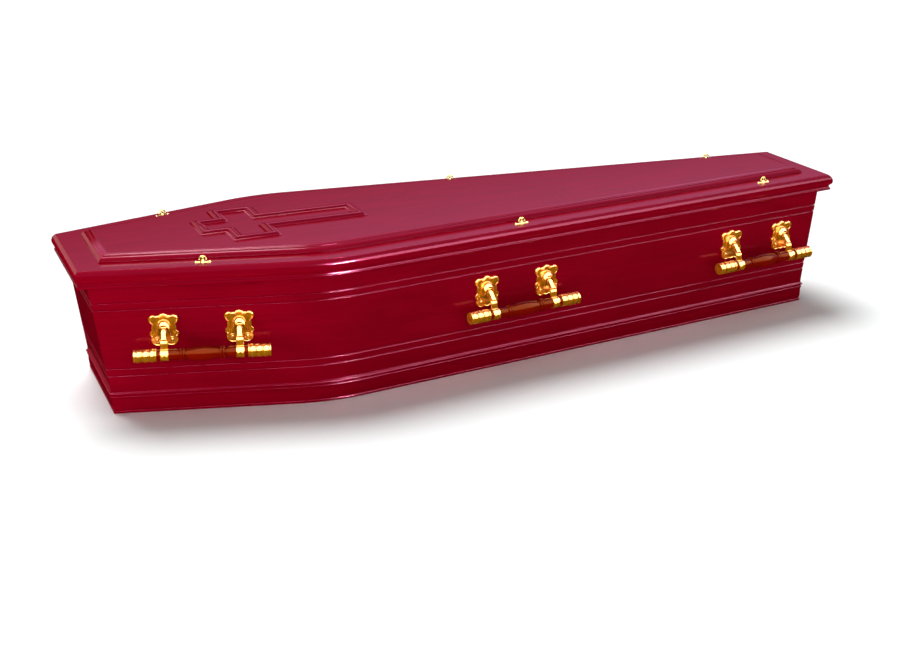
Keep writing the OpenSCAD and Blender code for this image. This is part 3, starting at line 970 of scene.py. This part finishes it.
def bar_profile(fitting, half):
    """Half of the turned bar, as x and radius in millimetres: a belly that narrows to two beads and a
    neck."""
    neck, belly, belly_end = mm(fitting.neck_radius), mm(fitting.belly_radius), 38
    x = np.linspace(0, belly_end, 20)
    body = np.stack([x, belly - 5.5 * (1 - np.cos(np.pi / 2 * x / belly_end))], 1)
    beads = [arc(41, neck, 2.8, 160, 20, 10)[:, :2], arc(47, neck, 2.8, 160, 20, 10)[:, :2]]
    rest = np.array([[51, neck - 1.0], [54, neck - 0.5], [62, neck], [half, neck]])
    return np.vstack([body, *beads, rest])


def cap_profile():
    """A gilt end cap, as x from its root and radius: a collar, three swelling ribs with thin rings between
    them, and a flared end with a rounded button."""
    x = np.linspace(0, 1, 12)[:-1]
    rib = lambda start: np.stack([start + 12.4 * x, 13.6 + 1.8 * np.sin(np.pi * x) ** 0.8], 1)
    ring = lambda at: arc(at, 13.8, 1.15, 180, 0, 6)[:, :2]
    return np.vstack([
        [[0, 12.3], [0, 14.2], [0.6, 14.9], [2.0, 15.0], [2.8, 14.4], [3.2, 13.7]],
        rib(3.4), ring(16.9), rib(18.2), ring(31.7), rib(33.0), [[45.6, 13.9]],
        [[47.0, 14.5], [48.2, 15.2], [49.6, 15.3], [50.6, 14.8], [51, 13.5], [50.4, 11.3], [50.6, 8.6],
         [51, 6.6], [50.9, 3.2], [51, 0]]])


def add_screw_plate(shell, place, ball_at=15.4, ball_radius=3.8):
    """The screw's plate: half-ellipses of half-width w(x) and height h(x) carried along it, with a ball at
    each end, and a flared boss in the middle with the screw's hole."""
    x = (ball_at + ball_radius) * np.sin(np.linspace(-np.pi / 2, np.pi / 2, 61))[:, None]
    far = np.abs(x)
    ball = np.sqrt(np.maximum(1 - ((far - ball_at) / ball_radius) ** 2, 0))
    width = np.maximum(np.where(far < ball_at, 2.9, 0), 3.9 * ball)
    height = np.maximum(np.where(far < ball_at, 2.3 + 0.5 * hill(far / 9), 0), 3.5 * ball)
    t = np.linspace(0, np.pi, 15)[None, :]
    points = np.stack([x + 0 * t, width * np.cos(t), height * np.sin(t)], -1)
    shell.grid(place(points), columns_close=True)
    boss = np.array([
        [0, 2.6], [0, 6.9], [0.8, 6.8], [1.7, 6.2], [2.6, 5.2], [3.2, 4.4], [4.0, 3.9], [4.0, 2.6]])
    add_turned(shell, boss, place, 40, upright=True, closed=True)


def add_screw(shell, shank, place, wing_z=6.5, wing_radius=7.7, knob_at=7.6):
    """The thumbscrew: shank, collar and stem turned about its axis, and an arched wing, which is a tube of
    elliptical section carried round a half circle to a knob at each foot."""
    stem = np.array([
        [-shank, 0], [-shank, 1.9], [-shank + 0.8, 2.45], [4.05, 2.45], [4.05, 3.9], [4.6, 4.0], [5.3, 3.6],
        [6.2, 2.7], [7.2, 2.2], [8.6, 2.15], [9.8, 2.6], [11.0, 2.9], [12.2, 2.6], [13.2, 1.8], [13.2, 0]])
    add_turned(shell, stem, place, 32, upright=True)
    a, b = np.linspace(0, np.pi, 41)[None, :], whole_turn(16)[:, None]
    swell = 1 + 0.12 * np.cos(6 * a)
    far = wing_radius + 1.7 * swell * np.cos(b)
    shell.tube(place(np.stack([far * np.cos(a), 1.55 * swell * np.sin(b), wing_z + far * np.sin(a)], -1)))
    t = np.linspace(0, np.pi, 13)
    knob = np.stack([-2.1 * np.cos(t), 2.1 * np.sin(t)], 1)
    for side in (-1, 1):
        add_turned(shell, knob, lambda p: place(p + [knob_at * side, 0, wing_z]), 20)


# ---------------------------------------------------------------- operators


class PieceOperator:
    """What the operators share."""

    bl_options = {"REGISTER", "UNDO"}


def add_woodwork(wood, name, shell, node):
    """A lacquered piece of the box or the lid, in a CAD node's place."""
    add_piece(name, shell, lacquered_wood(wood), "coffin", "lacquered_wood", node)


class COFFIN_OT_box(PieceOperator, bpy.types.Operator):
    """Side, head and foot boards with their V grooves, and the base board"""

    bl_idname = "coffin.box"
    bl_label = "Box"

    def execute(self, context):
        wood = context.scene.coffin_wood
        profile = wall_profile(wood)
        for side, sign in SIDES.items():
            shell = carried_along_side(wood, profile, box_mitre, sign)
            add_woodwork(wood, f"grooved_side_{side}", shell, f"side_board_{side}")
        for end, sign in ENDS.items():
            shell = carried_across_end(wood, profile, box_mitre, sign)
            add_woodwork(wood, f"grooved_{end}", shell, f"{end}_board")
        base = frame["nodes"]["base_board"]
        base.data.materials.clear()
        base.data.materials.append(stained_base(wood))
        return {"FINISHED"}


class COFFIN_OT_mouldings(PieceOperator, bpy.types.Operator):
    """Plinth mouldings and the mouldings under the lid's edge"""

    bl_idname = "coffin.mouldings"
    bl_label = "Mouldings"

    def execute(self, context):
        wood = context.scene.coffin_wood
        kinds = (("plinth", plinth_profile(), box_mitre), ("lid_edge", edge_profile(), lid_mitre))
        for kind, profile, mitre in kinds:
            for carry, signs in ((carried_along_side, SIDES), (carried_across_end, ENDS)):
                for place, sign in signs.items():
                    shell = carry(wood, profile, mitre, sign)
                    add_woodwork(wood, f"{kind}_moulding_{place}", shell, f"{kind}_{place}")
        return {"FINISHED"}


class COFFIN_OT_lid(PieceOperator, bpy.types.Operator):
    """Lid board with its round nose, raised panel and cross"""

    bl_idname = "coffin.lid"
    bl_label = "Lid"

    def execute(self, context):
        wood = context.scene.coffin_wood
        add_woodwork(wood, "lid_with_nose", slab(wood, lid_profile(), lid_mitre), "lid_board")
        add_woodwork(wood, "moulded_panel", slab(wood, panel_profile(), lid_mitre), "lid_raised_panel")
        add_woodwork(wood, "moulded_cross", make_cross(), "lid_cross")
        return {"FINISHED"}


def add_metalwork(name, shell, metal, node, body="coffin", **options):
    """A metal piece of a fitting, in a CAD node's place."""
    add_piece(name, shell, metal, body, "gilt_metal", node, **options)


class COFFIN_OT_thumbscrews(PieceOperator, bpy.types.Operator):
    """The lid's thumbscrews and the plates that they stand on"""

    bl_idname = "coffin.thumbscrews"
    bl_label = "Thumbscrews"

    def execute(self, context):
        brass = pale_brass(context.scene.coffin_fitting)
        for site in sites():
            low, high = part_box(f"thumbscrew_{site.name}")
            origin = np.array([*((low + high) / 2)[:2], TOP_Z])
            place = lambda p: site.to_world(p, origin)
            plate, screw = Shell(), Shell()
            add_screw_plate(plate, place)
            add_metalwork(f"ball_ended_plate_{site.name}", plate, brass, f"screw_plate_{site.name}")
            add_screw(screw, mm(TOP_Z - low.z), place)
            add_metalwork(f"winged_screw_{site.name}", screw, brass, f"thumbscrew_{site.name}")
        return {"FINISHED"}


class COFFIN_OT_handle_plates(PieceOperator, bpy.types.Operator):
    """The shield plates with their hoods"""

    bl_idname = "coffin.handle_plates"
    bl_label = "Handle plates"

    def execute(self, context):
        fitting = context.scene.coffin_fitting
        for site in sites():
            for letter, place in site.arms():
                shell = Shell()
                add_plate(shell, fitting, place)
                add_hood(shell, fitting, place)
                node = f"handle_plate_{site.name}_{letter}"
                add_metalwork(f"shield_{site.name}_{letter}", shell, gilt_metal(fitting), node, sharp=44)
        return {"FINISHED"}


class COFFIN_OT_handles(PieceOperator, bpy.types.Operator):
    """The swinging arms, and the turned bars with their end caps"""

    bl_idname = "coffin.handles"
    bl_label = "Handles"

    def execute(self, context):
        fitting = context.scene.coffin_fitting
        gilt, wood = gilt_metal(fitting), turned_wood(fitting)
        for site in sites():
            body = f"handle_{site.name}"
            for letter, place in site.arms():
                shell = Shell()
                add_arm(shell, fitting, place)
                node = f"handle_arm_{site.name}_{letter}"
                add_metalwork(f"strap_arm_{site.name}_{letter}", shell, gilt, node, body)
            node = f"handle_bar_{site.name}"
            centre, half = node_centre(node), mm(site.bar_length() / 2 - fitting.cap_length)
            bar, caps = Shell(), Shell()
            for turn in (-1, 1):
                turned_round = np.array([turn, turn, 1])
                place = lambda p: site.to_world(p * turned_round, centre)
                add_turned(bar, bar_profile(fitting, half), place)
                add_turned(caps, cap_profile() + [half, 0], place, 48)
            add_piece(f"turned_bar_{site.name}", bar, wood, body, "turned_wood", node)
            add_metalwork(f"bar_caps_{site.name}", caps, gilt, node, body)
        return {"FINISHED"}


class COFFIN_OT_stage(PieceOperator, bpy.types.Operator):
    """Pale floor, soft light and the camera"""

    bl_idname = "coffin.stage"
    bl_label = "Stage"

    def execute(self, context):
        stage = context.scene.coffin_stage
        add_floor()
        add_lights(stage)
        add_camera()
        return {"FINISHED"}


def add_floor(reach=30.0):
    """A wide pale floor under the coffin."""
    edge = np.array([-reach, reach])
    shell = Shell()
    shell.grid(np.stack([*np.meshgrid(edge, edge), np.zeros((2, 2))], -1))
    floor = add_object("floor", shell.mesh("floor"))
    floor.data.materials.append(
        Finish("pale_floor").shade(Base_Color=(0.92, 0.95, 0.95, 1), Roughness=0.9, Specular_IOR_Level=0.0))
    floor.visible_glossy = False
    floor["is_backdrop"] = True


def facing(location, forward, roll=0.0):
    """Matrix of a light or camera at a point that looks forward, turned about its line of sight."""
    forward = np.array(forward) / np.linalg.norm(forward)
    level = np.cross(forward, (0, 0, 1))
    level /= np.linalg.norm(level)
    above = np.cross(level, forward)
    matrix = np.eye(4)
    matrix[:3, 0] = math.cos(roll) * level + math.sin(roll) * above
    matrix[:3, 1] = math.cos(roll) * above - math.sin(roll) * level
    matrix[:3, 2] = -forward
    matrix[:3, 3] = location
    return Matrix(matrix)


def add_lamp(name, kind, location, target, **settings):
    """A lamp at one point that looks at another."""
    data = bpy.data.lights.new(name, kind)
    for key, value in settings.items():
        setattr(data, key, value)
    lamp = add_object(name, data)
    lamp.matrix_world = facing(location, np.subtract(target, location))
    return lamp


def add_soft_box(name, location, target, size, power, kinds, colour=(1, 1, 1), spread=180):
    """A soft box of width and height, with the angle of its beam in degrees, that lights only the pieces
    whose names begin with some words."""
    lamp = add_lamp(name, "AREA", location, target, shape="RECTANGLE", size=size[0], size_y=size[1],
                    energy=power, color=colour, spread=math.radians(spread))
    lamp.visible_camera = False
    lit = bpy.data.collections.new(f"lit_by_{name}")
    for piece in bpy.context.scene.collection.objects:
        if piece.type == "MESH" and piece.name.startswith(kinds):
            lit.objects.link(piece)
    lamp.light_linking.receiver_collection = lit
    return lamp


def add_mirrored(*place_and_kinds, **options):
    """A soft box that only the gloss of its pieces shows, and that throws no light on from them."""
    lamp = add_soft_box(*place_and_kinds, **options)
    lamp.visible_diffuse = False
    lamp.data.cycles.max_bounces = 0


def add_surroundings(stage):
    """Surroundings that are white where they are seen and even where they light matt surfaces. Where they
    are mirrored, they are dark up to a little above the horizon and brighten with height, a little sooner
    towards the foot end."""
    world = bpy.data.worlds.new("surroundings")
    nodes = Nodes(world)
    direction = nodes.add("ShaderNodeTexCoord").outputs["Generated"]
    leaning = nodes.add("ShaderNodeVectorMath", {0: direction, 1: Vector((0.13, 0, 1)).normalized()},
                        operation="DOT_PRODUCT").outputs["Value"]
    height = nodes.add("ShaderNodeSeparateXYZ", {0: direction}).outputs["Z"]
    brightness = nodes.join("MULTIPLY", nodes.level(leaning, 0.265, 0.45, 0.006, 1),
                            nodes.level(height, -0.01, 0.02, 0, 1))
    tint = nodes.add("ShaderNodeVectorMath", {0: stage.mirrored, "Scale": brightness}, operation="SCALE")
    white = (1, 1, 1, 1)
    lit, mirrored, seen = (
        nodes.add("ShaderNodeBackground", {"Color": colour, "Strength": strength}).outputs["Background"]
        for colour, strength in ((white, stage.sky), (tint.outputs["Vector"], stage.mirror), (white, 1.1)))
    rays = nodes.add("ShaderNodeLightPath").outputs
    gloss = nodes.add("ShaderNodeMixShader", {0: rays["Is Glossy Ray"], 1: lit, 2: mirrored})
    view = nodes.add("ShaderNodeMixShader", {0: rays["Is Camera Ray"], 1: gloss.outputs[0], 2: seen})
    nodes.put(nodes.tree.nodes["World Output"].inputs["Surface"], view.outputs[0])
    bpy.context.scene.world = world


BOX = ("grooved", "plinth")
EDGES = (*BOX, "lid")
WOODWORK = (*EDGES, "moulded_panel")
FITTINGS = ("shield", "strap", "turned", "bar", "ball", "winged")
EVERYTHING = (*WOODWORK, "moulded_cross", "base_board", *FITTINGS)


def add_lights(stage):
    """A wide soft key from above and behind, a fill from the front and one from the head end that only matt
    surfaces see, and soft boxes that only gloss shows: a small one for glints and two long strips along the
    near side, one from behind the head end and a wide one over the fittings."""
    bpy.context.scene.view_settings.view_transform = "Standard"
    add_surroundings(stage)
    add_lamp("key", "SUN", (-0.1, 0.55, 1.0), (0, 0, 0), angle=math.radians(32), energy=stage.key)
    for name, location, size, share in (("front_fill", (-0.6, -3.4, 1.5), (2.4, 0.8), 1.0),
                                        ("head_fill", (-3.6, -0.7, 0.6), (1.0, 0.6), 1.35)):
        fill = add_soft_box(name, location, (-0.4, -0.2, 0.2), size, share * stage.fill, EVERYTHING)
        fill.visible_glossy = False
    add_mirrored("glint", (0.59, -3.23, 1.9), (-0.47, -0.32, 0.3), (1.2, 0.5), stage.glint, WOODWORK,
                 spread=34)
    add_mirrored("strip", (1.6, -2.6, 1.95), (0.3, -0.33, 0.4), (4.0, 1.9), stage.strip, EDGES, spread=64)
    add_mirrored("high_strip", (0.6, -1.05, 2.3), (0.6, -0.33, 0.25), (6.0, 0.9), stage.high_strip, BOX)
    add_mirrored("back_left", (-2.2, 3.2, 0.95), (-0.9, 0, 0.35), (1.8, 1.2), stage.back,
                 (*WOODWORK, "moulded_cross"))
    add_mirrored("overhead", (0, -2.2, 2.4), (0, -0.4, 0.2), (12.0, 5.0), stage.overhead, FITTINGS,
                 colour=(1, 1, 0.6))


def add_camera():
    """The camera: where it stands, which way it faces and how far it dips, with its turn about its own line
    of sight."""
    location = (-1.41476, -3.33998, 1.34391)
    yaw, pitch, roll = 0.38881, 0.34954, -0.01248
    data = bpy.data.cameras.new("camera")
    data.lens = 59.63
    data.sensor_width = 36.0
    camera = add_object("camera", data)
    forward = (math.sin(yaw) * math.cos(pitch), math.cos(yaw) * math.cos(pitch), -math.sin(pitch))
    camera.matrix_world = facing(location, forward, roll)
    bpy.context.scene.camera = camera


class COFFIN_PT_panel(bpy.types.Panel):
    """Lists the steps that build the coffin"""

    bl_idname = "COFFIN_PT_panel"
    bl_label = "Coffin"
    bl_space_type = "VIEW_3D"
    bl_region_type = "UI"
    bl_category = "Coffin"

    def draw(self, context):
        for operator in OPERATORS:
            self.layout.operator(operator.bl_idname)


SETTINGS = {
    "coffin_wood": CoffinWoodSettings,
    "coffin_fitting": CoffinFittingSettings,
    "coffin_stage": CoffinStageSettings,
}
OPERATORS = (COFFIN_OT_box, COFFIN_OT_mouldings, COFFIN_OT_lid, COFFIN_OT_thumbscrews,
             COFFIN_OT_handle_plates, COFFIN_OT_handles, COFFIN_OT_stage)
CLASSES = (*SETTINGS.values(), *OPERATORS, COFFIN_PT_panel)


def register():
    for kind in CLASSES:
        bpy.utils.register_class(kind)
    for name, group in SETTINGS.items():
        setattr(bpy.types.Scene, name, PointerProperty(type=group))


def unregister():
    for name in SETTINGS:
        delattr(bpy.types.Scene, name)
    for kind in reversed(CLASSES):
        bpy.utils.unregister_class(kind)


def main():
    register()
    for operator in OPERATORS:
        module, step = operator.bl_idname.split(".")
        getattr(getattr(bpy.ops, module), step)()
    boxes = {"cad": cad_box, "visual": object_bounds()}
    {name: [list(c) for c in box] for name, box in boxes.items()}


if __name__ == "__main__":
    main()
